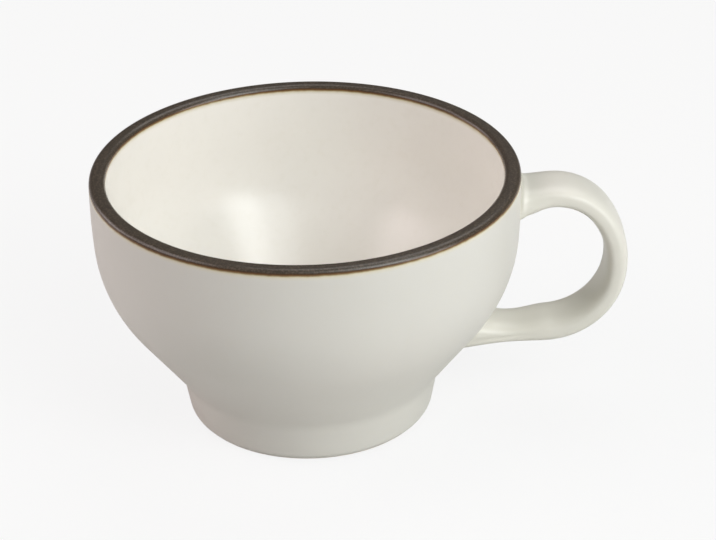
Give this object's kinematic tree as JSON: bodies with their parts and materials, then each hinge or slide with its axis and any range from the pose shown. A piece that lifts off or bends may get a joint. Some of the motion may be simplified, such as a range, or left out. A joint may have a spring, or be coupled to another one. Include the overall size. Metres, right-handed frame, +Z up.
{
  "type": "cappuccino cup",
  "caption": "Round stoneware cup for cappuccino, with a wide bowl on a narrow flared foot, a strap handle and a dark glazed lip.",
  "frame": {"origin": "centre of the foot ring, on the table that the cup stands on", "axes": "+Z up along the bowl's axis, +X towards the handle, which lies in the XZ plane"},
  "size_m": [0.1382, 0.1102, 0.0683],
  "materials": {
    "stoneware": "bare fired stoneware, matt",
    "slip": "fired slip, matt",
    "cream_glaze": "off-white satin glaze",
    "iron_glaze": "dark brown-black satin iron glaze"
  },
  "bodies": {
    "root": {"cup_body": "stoneware", "handle": "stoneware", "upper_joint_slip": "slip", "lower_joint_slip": "slip", "rim_band": "iron_glaze", "inner_glaze": "cream_glaze", "outer_glaze": "cream_glaze", "handle_glaze": "cream_glaze", "underside_glaze": "cream_glaze"}
  },
  "joints": []
}
